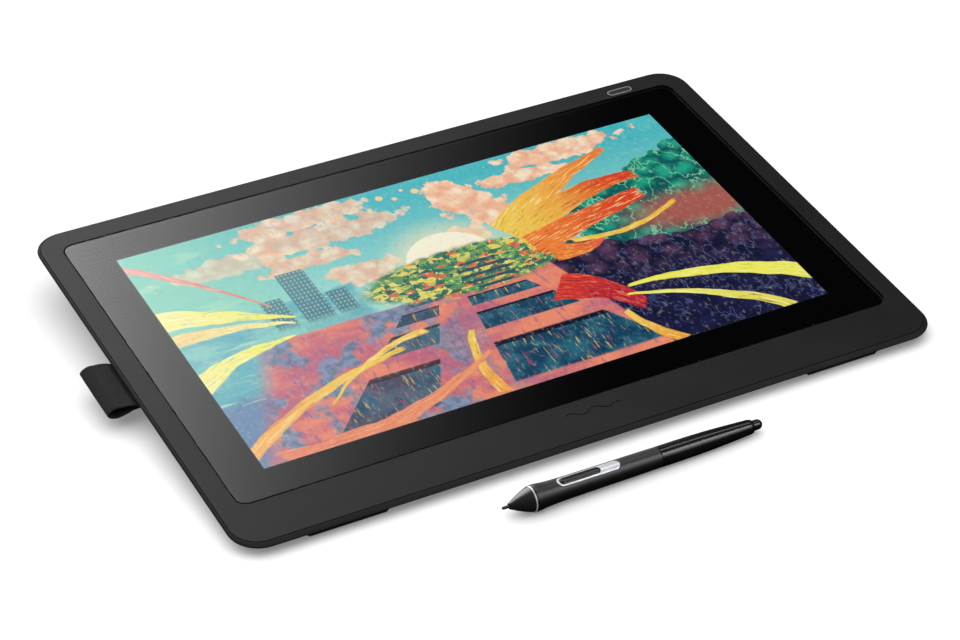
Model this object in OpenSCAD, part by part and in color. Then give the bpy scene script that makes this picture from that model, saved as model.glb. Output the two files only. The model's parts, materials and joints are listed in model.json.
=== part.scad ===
// Pen drawing tablet with its pen, resting on a desk with both legs folded.
// Z is up, X runs to the right and Y to the back. The floor is z = 0, and the
// origin is on the floor under the middle of the casing.

/* [Screen] */
// Width of the lit area
active_w = 344.16; // [343.5:0.01:344.8]
// Height of the lit area
active_d = 193.59; // [193:0.01:194.2]
// Width of the cover glass
glass_w = 393; // [392:0.1:394]
// Depth of the cover glass
glass_d = 237.4; // [236.5:0.1:238]
// Corner radius of the cover glass
glass_r = 6.5; // [5.5:0.1:8]
// Gap all round the cover glass
glass_gap = 0.9; // [0.6:0.1:1.1]

/* [Casing] */
// Width of the casing
casing_w = 420; // [419.6:0.1:420.6]
// Depth of the casing, front to back
casing_d = 285; // [284.6:0.1:286]
// Thickness from the top to the folded legs' feet
casing_t = 24.5; // [24.4:0.05:24.6]
// Corner radius of the casing's outline
corner_r = 17.5; // [16:0.5:18.5]
// How far the screen's centre sits behind the casing's centre
screen_up = 9; // [8.8:0.05:9.2]
// Wall thickness of the rear cover
wall = 1.7; // [1.6:0.05:1.8]

/* [Legs] */
// Width of each leg
leg_w = 62; // [58:1:63]
// Distance of each leg's middle from the casing's middle
leg_x = 118; // [116:1:119]
// Height of the front feet's underside below the top, at their contact line
front_foot_t = 8.2; // [8.1:0.05:8.3]

/* [Pen loop] */
// Width of the flattened fabric tube
loop_w = 12.4; // [12:0.1:12.6]
// Height of the flattened fabric tube
loop_h = 7.5; // [7.2:0.1:7.6]
// Length of the fabric tube along the casing's side
loop_l = 38.4; // [36:0.2:42]

/* [Pen] */
// Length of the pen from nib to eraser
pen_l = 157; // [156.8:0.1:157.2]
// Radius of the pen at its widest
pen_r = 7.15; // [7.1:0.05:7.2]
// Turn of the pen on the desk
pen_yaw = 1.2; // [0:0.1:3]
// Roll of the pen that turns its switch towards the front
pen_roll = 12; // [0:1:40]

/* [Hidden] */
$fn = 48;
slab_t = 0.05;
big = 600;

// Casing frame: origin at the screen's centre on the top face, x right, y back, z out of
// the face. Depths below the top face are positive numbers.
front_y = -casing_d / 2 - screen_up;
rear_y = casing_d / 2 - screen_up;

// The tablet leans on its front feet and on its folded legs' feet.
front_contact_y = -140;
leg_contact_y = 50;
tilt = atan((casing_t - front_foot_t) / (leg_contact_y - front_contact_y));
lift_z = front_foot_t * cos(tilt) - front_contact_y * sin(tilt);
shift_y = screen_up * cos(tilt) - 8 * sin(tilt);

// Outside of the casing, from the top rim down: depth, then how far the side, front and
// rear stand in from the full outline, then how much smaller the corner radius is.
SKIN = [
    [0.25, 1.5, 3.1, 1.8, 2.0],
    [0.6, 0.6, 1.2, 0.8, 0.9],
    [1.2, 0, 0, 0, 0],
    [2.2, 0.4, 0.6, 0.4, 0.5],
    [4.4, 2.6, 3.9, 1.2, 2],
    [6.5, 7.5, 14, 2.4, 4],
    [9.4, 15, 46.5, 4.6, 6],
    [15.8, 36, 121.5, 13, 7.5],
    [19, 50, 166, 20, 9]
];
skin_end = len(SKIN) - 1;
belly_t = SKIN[skin_end][0];
first_inner_level = 4;

// Front bezel plate, inside the rear cover's rim
bezel_side = 2;
bezel_front = 3.7;
bezel_rear = 2.3;
bezel_r = corner_r - 2.4;
glass_x = 0.6;
bezel_t = 2.6;
seam = 0.3;
ledge_depth = 1.75;
panel_hole_w = 357;
panel_hole_d = 207;

// Stack under the glass: top and bottom depth of each layer
glass_z = [0.15, 1.45];
panel_z = [1.5, 2.58];
film_z = [2.65, 3.1];
guide_z = [3.15, 4.75];
reflector_z = [4.8, 5.0];
tray_z = [5.05, 5.55];
digitizer_z = [5.75, 6.25];
shield_z = [6.35, 6.5];
chassis_z = [6.8, 7.5];
board_z = [9.5, 11.1];
panel_w = 352;
panel_d = 203.5;
tray_w = 354;
tray_d = 206;
tray_wall = 0.5;
guide_front = -98.8;

// Screws: threaded shank, the hole round it, and the head
shank_r = 0.97;
hole_r = 1.02;
head_r = 1.9;
head_t = 1.1;
head_hole_r = 2.2;
drive_r = 0.8;
drive_depth = 0.6;
casing_seat = 5.8;
casing_boss_end = 4.2;
thread_top = 2;
CASING_SCREWS = concat(
    [for (x = [-150, -50, 50, 150]) [x, -128]],
    [for (x = [-199.5, 199.5], y = [-60, 60]) [x, y]],
    [for (x = [-140, -75, 75, 140]) [x, 122]]
);
CHASSIS_SCREWS = concat(
    [for (x = [-184, 184], y = [-88, 0, 88]) [x, y]],
    [[-90, 108], [90, 108]]
);
BOARD_SCREWS = [[-32, 46], [70, 46], [-32, 100], [70, 100]];
BUTTON_SCREWS = [[155, 118], [179, 118]];

// Legs
hinge_y = 107;
hinge_depth = 16;
pin_r = 1.6;
pin_fit = 0.05;
barrel_r = 4;
leg_z = [14.8, 20];
leg_tip = 26;
pocket_depth = 14.5;
pocket_front = 21.5;
pocket_rear = hinge_y + 5.2;
pocket_w = leg_w + 1.2;
pin_l = 76;
foot_back = leg_contact_y;
foot_front = 23.5;
nib_r = 0.85;
nib_stock_l = 15;
puller_r = 6;

// Interfaces on the back and sides
insert_r = 2;
insert_wall_r = 3;
insert_l = 6.5;
insert_roof = 1.2;
INSERTS = [for (x = [-50, 50], y = [20, 90]) [x, y]];
port_x = 46;
port_w = 34;
port_z = [5, 14];
port_floor_y = 119;
lock_x = -120;
button_at = [167.2, 124.2];
ring_w = 16.4;
ring_d = 5.2;
ring_t = 0.75;
button_gap = 0.1;
button_board_z = [7.2, 8.2];

// Pen loop
clip_depth = 6.6;
clip_t = 2;
clip_w = 43;
clip_outer_x = -207.2;
clip_inner_x = -196;
loop_x = -219.9;
loop_depth = 6.45;
loop_wall = 1.1;
neck_t = 1.5;
neck_inner_x = -209.3;

// Pen: the axis is X from the nib's tip, and the switch faces +Z before the roll.
// Outline as distance from the tip, then radius.
ring_s = [16.5, 17.2];
grip_end = 92.5;
CONE = [[4.1, 1.55], [8.5, 3.75], [12.5, 5.4], [ring_s[0], pen_r - 0.35]];
GRIP = [
    [ring_s[1] + 0.1, pen_r - 0.15], [18.6, pen_r], [20.1, pen_r - 0.05], [21.9, pen_r - 0.25],
    [24.5, pen_r - 0.55], [28.7, pen_r - 0.8], [34, pen_r - 0.97], [42, pen_r - 1.1],
    [56, pen_r - 1.22], [72, pen_r - 1.3], [84, pen_r - 1.4], [grip_end, pen_r - 1.5]
];
BARREL = [
    [grip_end + 0.2, pen_r - 1.5], [104, pen_r - 1.5], [114, pen_r - 1.6], [124, pen_r - 1.85],
    [133, pen_r - 2.25], [142, pen_r - 2.7], [149, pen_r - 3.1], [150.6, pen_r - 3.5]
];
support_s = 114;
support_r = pen_r - 1.6;
widest_s = 19.1;
pen_pitch = asin((pen_r - support_r) / (support_s - widest_s));
pen_tip = [-79.7, -171.4, pen_r / cos(pen_pitch) + widest_s * sin(pen_pitch) + 0.05];
inner_r = 4.3;
inner_bore = 3.5;
switch_s = [31.5, 68.4];
switch_w = 5.8;
switch_rim = 0.7;
rocker_s = [32.6, 57];
dome_s = [39.05, 50.55];
dome_r = 1.6;
rocker_gap = 0.15;
rocker_low = 4.8;
nib_end = 22;

// Frames

module casing_frame() {
    translate([0, shift_y, lift_z]) rotate([tilt, 0, 0]) children();
}

module pen_frame() {
    translate(pen_tip) rotate([pen_roll, pen_pitch, pen_yaw]) children();
}

// Everything under the floor, as the casing frame sees it
module under_floor() {
    rotate([-tilt, 0, 0]) translate([-big / 2, -big / 2 - shift_y, -lift_z - big])
        cube([big, big, big]);
}

// Shared shapes

module rounded(w, d, r) {
    square([w - 2 * r, d], center = true);
    square([w, d - 2 * r], center = true);
    for (x = [-1, 1], y = [-1, 1])
        translate([x * (w / 2 - r), y * (d / 2 - r)]) circle(r);
}

// A plate between two depths
module plate(z) {
    translate([0, 0, -z[1]]) linear_extrude(z[1] - z[0]) children();
}

// A rounded rectangle given by its insets from the casing's full outline
module outline(side, front, rear, r) {
    translate([0, (front_y + front + rear_y - rear) / 2])
        rounded(casing_w - 2 * side, casing_d - front - rear, r);
}

module pill(w, d) {
    square([w - d, d], center = true);
    for (x = [-1, 1]) translate([x * (w - d) / 2, 0]) circle(d / 2);
}

// A vertical pin or hole between two depths
module post(at, r, z) {
    translate([at[0], at[1], -z[1]]) cylinder(h = z[1] - z[0], r = r);
}

// A box given by its x, y and depth ranges
module block(x, y, z) {
    translate([x[0], y[0], -z[1]]) cube([x[1] - x[0], y[1] - y[0], z[1] - z[0]]);
}

// A screw whose head sits below its seat, with the shank going up
module screw(at, seat, top) {
    difference() {
        post(at, head_r, [seat, seat + head_t]);
        post(at, drive_r, [seat + head_t - drive_depth, seat + head_t + 1]);
    }
    post(at, shank_r, [top, seat]);
}

// Casing shells

module skin_level(i, grow, rise) {
    level = SKIN[i];
    translate([0, 0, -level[0] + rise]) linear_extrude(slab_t)
        outline(level[1] + grow, level[2] + grow, level[3] + grow, corner_r - level[4] - grow,
            $fn = 32);
}

module casing_form() {
    hull() for (i = [0:skin_end]) skin_level(i, 0, 0);
}

module casing_cavity() {
    top = SKIN[first_inner_level];
    hull() {
        for (i = [first_inner_level:skin_end]) skin_level(i, wall, wall);
        skin_level(first_inner_level, wall, top[0] - bezel_t + 1);
    }
}

// Material left standing inside the rear cover
module cover_blocks() {
    for (at = CASING_SCREWS) post(at, 3.6, [casing_boss_end, 25]);
    for (at = INSERTS) post(at, insert_wall_r + 1.8, [belly_t - insert_l - insert_roof, 25]);
    for (at = BUTTON_SCREWS) post(at, 2.4, [button_board_z[1] + 0.05, 25]);
    for (side = [-1, 1]) {
        x = side * leg_x;
        block([x - pin_l / 2 - 2, x + pin_l / 2 + 2], [hinge_y - 6.5, pocket_rear + 2], [9.6, 25]);
        block([x - pocket_w / 2 - wall, x + pocket_w / 2 + wall],
            [pocket_front - wall, hinge_y], [pocket_depth - wall, 25]);
    }
    block([-leg_x - 24, -leg_x + 24], [54, 80], [pocket_depth - 3.8, 25]);
    block([port_x - port_w / 2 - 2, port_x + port_w / 2 + 2], [port_floor_y - 2.5, rear_y],
        [port_z[0] - 1.6, port_z[1] + 3]);
    block([lock_x - 9, lock_x + 9], [122, rear_y], [3.4, 14]);
}

// Pocket for one leg, in the casing's underside
module leg_pocket(x) {
    block([x - pocket_w / 2, x + pocket_w / 2], [pocket_front, hinge_y], [pocket_depth, 25]);
    block([x - pocket_w / 2, x + pocket_w / 2], [hinge_y - 4.4, pocket_rear], [hinge_depth, 25]);
    translate([x - pocket_w / 2, hinge_y, -hinge_depth]) rotate([0, 90, 0])
        cylinder(h = pocket_w, r = barrel_r + 0.4);
    block([x - 6.2, x + 6.2], [hinge_y - 6, pocket_rear], [hinge_depth - 4.9, hinge_depth]);
    translate([x - pin_l / 2 - 0.5, hinge_y, -hinge_depth]) rotate([0, 90, 0])
        cylinder(h = pin_l + 1, r = pin_r + 0.02);
}

module nib_places() {
    for (i = [0:2])
        block([-leg_x - 20, -leg_x - 20 + nib_stock_l + 1], [58 + i * 5, 60.2 + i * 5],
            [pocket_depth - 2, pocket_depth + 1]);
    post([-leg_x + 12, 66], puller_r + 0.3, [pocket_depth - 2.3, pocket_depth + 1]);
}

module clip_slot(side) {
    x = [side * 213, side * 192];
    block([min(x), max(x)], [-clip_w / 2 - 0.2, clip_w / 2 + 0.2],
        [clip_depth - clip_t / 2 - 0.1, clip_depth + clip_t / 2 + 0.1]);
}

module rear_cover() color([0.1, 0.1, 0.105]) casing_frame() {
    difference() {
        casing_form();
        difference() {
            casing_cavity();
            cover_blocks();
        }
        plate([-1, bezel_t]) outline(bezel_side - seam, bezel_front - seam, bezel_rear - seam,
            bezel_r + seam);
        for (at = CASING_SCREWS) {
            post(at, head_hole_r, [casing_seat, 25]);
            post(at, hole_r, [2, 25]);
        }
        for (at = INSERTS) post(at, insert_wall_r, [belly_t - insert_l, 25]);
        for (at = BUTTON_SCREWS) post(at, hole_r, [button_board_z[0], 12.2]);
        for (side = [-1, 1]) {
            leg_pocket(side * leg_x);
            clip_slot(side);
        }
        nib_places();
        block([port_x - port_w / 2, port_x + port_w / 2], [port_floor_y, rear_y + 1], port_z);
        block([port_x - 11.4, port_x + 11.4], [port_floor_y - 5, port_floor_y + 1], [6.8, 12.6]);
        block([lock_x - 3.8, lock_x + 3.8], [127.4, rear_y + 1], [6.3, 9.9]);
        block([lock_x - 7.1, lock_x + 7.1], [126.1, 127.5], [3, 13]);
        block([lock_x - 5.5, lock_x + 5.5], [121, 126.2], [4.6, 12]);
    }
}

module bezel_mark() {
    // A plain ink wave with a dot, sunk into the front border
    mark_l = 30;
    half_w = 0.55;
    steps = 36;
    wave = [for (i = [0:steps]) [mark_l * (i / steps - 0.5), 1.7 * sin(720 * i / steps)]];
    polygon(concat(
        [for (p = wave) p + [0, half_w]],
        [for (i = [steps:-1:0]) wave[i] - [0, half_w]]
    ));
    translate([mark_l / 2 + 2.6, 0]) circle(1.1);
}

module front_bezel() color([0.13, 0.13, 0.135]) casing_frame() difference() {
    union() {
        plate([0, bezel_t]) outline(bezel_side, bezel_front, bezel_rear, bezel_r);
        for (at = CASING_SCREWS) post(at, 2.6, [bezel_t, casing_boss_end]);
        for (at = CHASSIS_SCREWS) post(at, 2.6, [bezel_t, chassis_z[0]]);
    }
    translate([glass_x, 0]) plate([-1, ledge_depth])
        rounded(glass_w + 2 * glass_gap, glass_d + 2 * glass_gap, glass_r + glass_gap);
    plate([-1, bezel_t + 1]) rounded(panel_hole_w, panel_hole_d, 2);
    for (at = CASING_SCREWS) post(at, hole_r, [thread_top - 0.1, casing_boss_end + 1]);
    for (at = CHASSIS_SCREWS) post(at, hole_r, [3, chassis_z[0] + 1]);
    translate(button_at) plate([-1, bezel_t + 1]) pill(ring_w + 0.1, ring_d + 0.1);
    translate([0.5, -129.5]) plate([-1, 0.3]) bezel_mark();
}

// Screen stack

module cover_glass() color([0.03, 0.03, 0.035]) casing_frame()
    translate([glass_x, 0]) plate(glass_z) rounded(glass_w, glass_d, glass_r);

module panel_gasket() color([0.08, 0.08, 0.08]) casing_frame()
    plate([glass_z[1], ledge_depth]) difference() {
        translate([glass_x, 0]) rounded(glass_w - 4, glass_d - 4, glass_r - 2);
        rounded(panel_hole_w + 1, panel_hole_d + 1, 2);
    }

module lcd_panel() color([0.2, 0.35, 0.45]) casing_frame()
    plate(panel_z) rounded(panel_w, panel_d, 1);

module optical_film_stack() color([0.93, 0.94, 0.95]) casing_frame()
    plate(film_z) difference() {
        rounded(active_w + 3, active_d + 3, 0.8);
        for (x = [-1, 1]) translate([x * (active_w / 2 + 1.5), 60]) circle(1);
    }

module light_guide() color([0.85, 0.92, 0.95]) casing_frame()
    translate([0, 0.6]) plate(guide_z) difference() {
        rounded(active_w + 3, -2 * guide_front, 0.5);
        for (x = [-1, 1]) translate([x * (active_w / 2 + 1.5), -60])
            square([2.4, 5], center = true);
    }

module backlight_reflector() color([0.97, 0.97, 0.97]) casing_frame()
    plate(reflector_z) rounded(active_w + 3.5, active_d + 5, 0.5);

module led_strip() color([0.95, 0.93, 0.7]) casing_frame() {
    count = 48;
    pitch = active_w / count;
    block([-active_w / 2 - 1, active_w / 2 + 1], [-102.2, -101.6], [3.1, 4.75]);
    for (i = [0:count - 1]) {
        x = (i - (count - 1) / 2) * pitch;
        block([x - 1.6, x + 1.6], [-101.6, -100.7], [3.4, 4.4]);
    }
    block([-active_w / 2 - 1, -active_w / 2 + 9], [-101.6, -99.4], [4.55, 4.75]);
}

module lcd_rear_tray() color([0.72, 0.73, 0.74]) casing_frame() {
    difference() {
        plate([film_z[0], tray_z[1]]) rounded(tray_w, tray_d, 1.2);
        plate([0, tray_z[0]]) rounded(tray_w - 2 * tray_wall, tray_d - 2 * tray_wall, 0.7);
        for (x = [-120:60:120]) translate([x, 0]) plate([0, 9]) pill(16, 6);
    }
}

module panel_driver_board() color([0.1, 0.35, 0.2]) casing_frame() {
    block([-150, 150], [-114, -104.6], [3.6, 4.4]);
    for (x = [-120:40:120]) block([x - 9, x + 9], [-111, -107], [4.4, 5.1]);
}

module digitizer_board() color([0.12, 0.3, 0.18]) casing_frame()
    plate(digitizer_z) difference() {
        rounded(354, 206, 2);
        for (x = [-1, 1], y = [-1, 1]) translate([x * 172, y * 98]) circle(1.6);
    }

module shield_plate() color([0.55, 0.56, 0.58]) casing_frame()
    plate(shield_z) rounded(350, 200, 2);

module chassis_plate() color([0.62, 0.63, 0.65]) casing_frame() difference() {
    union() {
        translate([0, 5]) plate(chassis_z) rounded(376, 214, 4);
        for (at = BOARD_SCREWS) post(at, 2.4, [chassis_z[1], board_z[0]]);
    }
    for (at = CHASSIS_SCREWS) post(at, hole_r, [6, 9]);
    for (at = BOARD_SCREWS) post(at, hole_r, [7, 10]);
    block([-22, -2], [98, 108], [6, 8]);
    block([-12, 12], [58, 62], [6, 8]);
    for (x = [-150:50:150], y = [-70, -20]) translate([x, y]) plate([6, 8]) pill(30, 14);
}

// Electronics

module main_board() color([0.05, 0.25, 0.35]) casing_frame() {
    difference() {
        union() {
            block([-38, 76], [40, 106], board_z);
            block([port_x - 13, port_x + 13], [106, 112], board_z);
        }
        for (at = BOARD_SCREWS) post(at, 1.2, [9, 12]);
    }
    block([-14, 10], [50, 56], [8.6, board_z[0]]);
    block([-22, -4], [92, 97.6], [8.6, board_z[0]]);
}

module main_board_chips() color([0.12, 0.12, 0.13]) casing_frame() {
    block([8, 26], [62, 80], [11.1, 12.7]);
    block([-18, -6], [66, 78], [11.1, 12.7]);
    for (x = [34, 50]) block([x, x + 10], [58, 66], [11.1, 12.2]);
    for (i = [0:5]) block([-30 + 3 * i, -28.4 + 3 * i], [86, 89], [11.1, 12]);
}

module heat_spreader() color([0.75, 0.76, 0.78]) casing_frame()
    block([-22, 30], [58, 84], [12.75, 13.4]);

module port_connector() color([0.78, 0.79, 0.8]) casing_frame() difference() {
    block([port_x - 11.2, port_x + 11.2], [112.1, port_floor_y], [7, 12.4]);
    difference() {
        block([port_x - 10.7, port_x + 10.7], [114, port_floor_y + 1], [7.5, 11.9]);
        block([port_x - 9, port_x + 9], [113, port_floor_y - 1], [9.2, 10.2]);
    }
}

module panel_ribbon() color([0.85, 0.7, 0.4]) casing_frame() {
    t = 0.12;
    y_start = -106.4;
    block([-10, 10], [y_start, y_start + t], [5.2, 6.72]);
    block([-10, 10], [y_start, 60], [6.6, 6.72]);
    block([-10, 10], [60 - t, 60], [6.6, 9.2]);
    block([-10, 10], [56.1, 60], [9.08, 9.2]);
}

module digitizer_ribbon() color([0.85, 0.7, 0.4]) casing_frame() {
    t = 0.12;
    block([-20, -5], [103.05, 106], [5.9, 5.9 + t]);
    block([-20, -5], [106, 106 + t], [5.9, 9.2]);
    block([-20, -5], [97.7, 106], [9.08, 9.2]);
}

module button_board() color([0.1, 0.35, 0.2]) casing_frame() {
    difference() {
        block([151, 183], [114.6, 126.2], button_board_z);
        for (at = BUTTON_SCREWS) post(at, 1.2, [button_board_z[0] - 1, button_board_z[1] + 1]);
    }
    for (x = [160.5, 174])
        block([x - 0.8, x + 0.8], [123.4, 125], [button_board_z[0] - 0.6, button_board_z[0]]);
}

module button_switch() color([0.7, 0.7, 0.68]) casing_frame() {
    block([button_at[0] - 2.6, button_at[0] + 2.6], [122.2, 126.1], [5.9, button_board_z[0]]);
    post(button_at, 1, [5.2, 5.9]);
}

module power_button() color([0.07, 0.07, 0.07]) casing_frame() {
    translate(button_at) plate([0.1, 2.7])
        pill(ring_w - 2 * (ring_t + button_gap), ring_d - 2 * (ring_t + button_gap));
    translate(button_at) plate([2.7, 3.3]) pill(ring_w - 0.6, ring_d - 0.6);
    post(button_at, 1.3, [3.3, 4.6]);
}

module power_light_ring() color([0.66, 0.63, 0.6]) casing_frame()
    translate(button_at) plate([0, 2.4]) difference() {
        pill(ring_w, ring_d);
        pill(ring_w - 2 * ring_t, ring_d - 2 * ring_t);
    }

module board_screws() color([0.8, 0.8, 0.8]) casing_frame() {
    for (at = BOARD_SCREWS) screw(at, board_z[1], 8);
    for (at = BUTTON_SCREWS) {
        post(at, head_r, [button_board_z[0] - head_t, button_board_z[0]]);
        post(at, shank_r, [button_board_z[0], 12]);
    }
}

// Screws and plates

module casing_screws() color([0.25, 0.25, 0.26]) casing_frame()
    for (at = CASING_SCREWS) screw(at, casing_seat, thread_top);

module chassis_screws() color([0.7, 0.7, 0.72]) casing_frame()
    for (at = CHASSIS_SCREWS) screw(at, chassis_z[1], 3.4);

module stand_inserts() color([0.78, 0.62, 0.3]) casing_frame()
    for (at = INSERTS) difference() {
        post(at, insert_wall_r - 0.02, [belly_t - insert_l + 0.1, belly_t - 0.1]);
        post(at, insert_r, [belly_t - insert_l - 1, belly_t + 1]);
    }

module lock_plate() color([0.6, 0.6, 0.62]) casing_frame() difference() {
    block([lock_x - 7, lock_x + 7], [126.2, 127.4], [3.1, 12.8]);
    block([lock_x - 3.5, lock_x + 3.5], [125, 128], [6.6, 9.6]);
}

// Feet and legs

module front_feet() color([0.05, 0.05, 0.05]) casing_frame() {
    foot_x = 149;
    foot_y = [-147.3, -134.4];
    foot_l = 48;
    ramp = 3.5;
    for (side = [-1, 1]) difference() {
        translate([side * foot_x, foot_y[1], 0]) rotate([90, 0, 0])
            linear_extrude(foot_y[1] - foot_y[0])
            polygon([[-foot_l / 2, -5], [foot_l / 2, -5], [foot_l / 2 - ramp, -9],
                [ramp - foot_l / 2, -9]]);
        casing_form();
        under_floor();
    }
}

module leg(x) difference() {
    union() {
        translate([x, (leg_tip + hinge_y) / 2]) plate(leg_z)
            rounded(leg_w, hinge_y - leg_tip, 4);
        block([x - leg_w / 2, x + leg_w / 2], [hinge_y - 8, hinge_y], leg_z);
        translate([x - leg_w / 2, hinge_y, -hinge_depth]) rotate([0, 90, 0])
            cylinder(h = leg_w, r = barrel_r);
    }
    translate([x - leg_w, hinge_y, -hinge_depth]) rotate([0, 90, 0])
        cylinder(h = 2 * leg_w, r = pin_r + pin_fit);
    for (i = [-1:1])
        translate([x + i * 19, 62]) plate([leg_z[0] - 1, leg_z[0] + 2.8]) rounded(16, 58, 2);
}

module leg_foot(x) difference() {
    union() {
        block([x - leg_w / 2 + 0.8, x + leg_w / 2 - 0.8], [foot_front, foot_back],
            [leg_z[1], casing_t + 2]);
        block([x - leg_w / 2 + 0.8, x + leg_w / 2 - 0.8], [foot_front, leg_tip], [15.6, leg_z[1]]);
    }
    under_floor();
}

module left_leg() color([0.12, 0.12, 0.125]) casing_frame() leg(-leg_x);
module right_leg() color([0.12, 0.12, 0.125]) casing_frame() leg(leg_x);
module left_leg_foot() color([0.05, 0.05, 0.05]) casing_frame() leg_foot(-leg_x);
module right_leg_foot() color([0.05, 0.05, 0.05]) casing_frame() leg_foot(leg_x);

module leg_hinge_pins() color([0.8, 0.8, 0.82]) casing_frame()
    for (side = [-1, 1]) translate([side * leg_x - pin_l / 2, hinge_y, -hinge_depth])
        rotate([0, 90, 0]) cylinder(h = pin_l, r = pin_r);

module leg_detent_springs() color([0.75, 0.75, 0.78]) casing_frame()
    for (side = [-1, 1]) {
        x = side * leg_x;
        block([x - 6, x + 6], [hinge_y - 5.8, pocket_rear - 0.2], [11.2, 11.6]);
        block([x - 6, x + 6], [pocket_rear - 0.6, pocket_rear - 0.2], [11.6, 14]);
    }

module spare_nibs() color([0.15, 0.15, 0.16]) casing_frame()
    for (i = [0:2]) translate([-leg_x - 19.5, 59.1 + i * 5, -pocket_depth + 0.95]) {
        rotate([0, 90, 0]) cylinder(h = nib_stock_l - 1, r = nib_r);
        translate([nib_stock_l - 1, 0, 0]) rotate([0, 90, 0])
            cylinder(h = 1, r1 = nib_r, r2 = 0.4);
    }

module nib_puller() color([0.5, 0.5, 0.52]) casing_frame() difference() {
    post([-leg_x + 12, 66], puller_r, [pocket_depth - 2.2, pocket_depth]);
    post([-leg_x + 12, 66], puller_r - 2, [pocket_depth - 3, pocket_depth + 1]);
    post([-leg_x + 12, 71], 0.95, [pocket_depth - 3, pocket_depth + 1]);
}

// Pen loop

module loop_clip() color([0.09, 0.09, 0.09]) casing_frame() difference() {
    block([clip_outer_x, clip_inner_x], [-clip_w / 2, clip_w / 2],
        [clip_depth - clip_t / 2, clip_depth + clip_t / 2]);
    for (y = [-14, 0, 14]) post([-200, y], 1.5, [clip_depth - 3, clip_depth + 3]);
}

module loop_section(w, h) {
    square([w - h, h], center = true);
    for (x = [-1, 1]) translate([x * (w - h) / 2, 0]) circle(h / 2);
}

module pen_loop() color([0.12, 0.12, 0.12]) casing_frame()
    translate([0, loop_l / 2, 0]) rotate([90, 0, 0]) linear_extrude(loop_l) {
        difference() {
            translate([loop_x, -loop_depth]) loop_section(loop_w, loop_h);
            translate([loop_x, -loop_depth])
                loop_section(loop_w - 2 * loop_wall, loop_h - 2 * loop_wall);
        }
        translate([loop_x + loop_w / 2 - 0.6, -clip_depth - neck_t / 2])
            square([neck_inner_x - loop_x - loop_w / 2 + 0.6, neck_t]);
    }

// Pen

// A solid turned about the pen's axis from [distance, radius] points
module turned(points) {
    rotate([0, 90, 0]) rotate_extrude()
        polygon([for (p = points) [p[1], p[0]]]);
}

// A shell between an outline and a straight bore
module turned_shell(points, bore) {
    last = len(points) - 1;
    turned(concat(points, [[points[last][0], bore], [points[0][0], bore]]));
}

function grown(points, by) = [for (p = points) [p[0], p[1] + by]];

module switch_prism(s, w, low) {
    translate([(s[0] + s[1]) / 2, 0, low]) linear_extrude(9 - low) pill(s[1] - s[0], w);
}

module pen_nib() color([0.1, 0.1, 0.1]) pen_frame()
    turned([[0, 0], [0.12, 0.35], [0.45, 0.65], [1.3, nib_r], [nib_end, nib_r], [nib_end, 0]]);

module pen_nose_cone() color([0.16, 0.16, 0.165]) pen_frame()
    turned([CONE[0], CONE[1], CONE[2], CONE[3], [ring_s[0], 4.6], [9, 2.3], [8, 0.95], [4.1, 0.95]]);

module pen_ring() color([0.8, 0.8, 0.82]) pen_frame()
    turned_shell([[ring_s[0], pen_r - 0.3], [ring_s[1], pen_r - 0.12]], 4.6);

module pen_grip() color([0.14, 0.14, 0.145]) pen_frame() difference() {
    turned_shell(GRIP, inner_r + 0.02);
    switch_prism([switch_s[0] - 0.05, switch_s[1] + 0.05], switch_w + 0.1, 1);
}

module pen_switch_frame() color([0.75, 0.76, 0.78]) pen_frame() difference() {
    intersection() {
        switch_prism(switch_s, switch_w, 3.4);
        turned_shell(grown(GRIP, 0.12), inner_r + 0.02);
    }
    switch_prism(rocker_s, switch_w - 2 * switch_rim, 1);
}

module pen_switch_rocker() color([0.06, 0.06, 0.06]) pen_frame() {
    s = [rocker_s[0] + rocker_gap, rocker_s[1] - rocker_gap];
    intersection() {
        switch_prism(s, switch_w - 2 * switch_rim - 2 * rocker_gap, rocker_low);
        turned(concat([[30, 0]], grown([for (i = [5:9]) GRIP[i]], 0.45), [[72, 0]]));
    }
    for (at = dome_s) translate([at, 0, 3.95]) cylinder(h = 1, r = 1);
}

module pen_barrel() color([0.09, 0.09, 0.095]) pen_frame()
    turned(concat(BARREL,
        [[150.6, 2.9], [149, 2.9], [138, 3.3], [126, inner_r], [grip_end + 0.2, inner_r + 0.02]]));

module pen_eraser() color([0.05, 0.05, 0.05]) pen_frame() {
    base = 148.2;
    r = 2.8;
    nose = [for (a = [0:15:90]) [pen_l - r + r * sin(a), r * cos(a)]];
    turned(concat([[base, 0], [base, r]], nose));
}

module pen_inner_tube() color([0.3, 0.3, 0.31]) pen_frame() difference() {
    turned([[20, inner_r], [125, inner_r], [125, inner_bore], [20, inner_bore]]);
    translate([36, -1.9, 0]) cube([21, 3.8, 6]);
}

module pen_nib_core() color([0.25, 0.24, 0.24]) pen_frame()
    turned([[9.4, 0.95], [9.4, 1.9], [18.6, 1.9], [18.6, 0.95]]);

module pen_nib_coil() color([0.75, 0.45, 0.2]) pen_frame()
    turned([[11, 1.95], [11, 2.75], [18, 2.75], [18, 1.95]]);

module pen_pressure_sensor() color([0.4, 0.4, 0.42]) pen_frame()
    turned([[nib_end + 0.6, 0], [nib_end + 0.6, 2.8], [28, 2.8], [28, 0]]);

module pen_circuit_board() color([0.1, 0.35, 0.2]) pen_frame() {
    translate([30, -2.2, 1.6]) cube([50, 4.4, 0.8]);
    translate([64, -1.6, 0.6]) cube([6, 3.2, 1]);
}

module pen_switch_domes() color([0.8, 0.8, 0.82]) pen_frame()
    for (at = dome_s) translate([at, 0, 2.4]) cylinder(h = 0.9, r1 = dome_r, r2 = 1.1);

module pen_eraser_holder() color([0.35, 0.35, 0.36]) pen_frame()
    turned([[127, 0], [127, 3.2], [136, 3.2], [141, 2.6], [147.2, 2.6], [147.2, 0]]);

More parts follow.
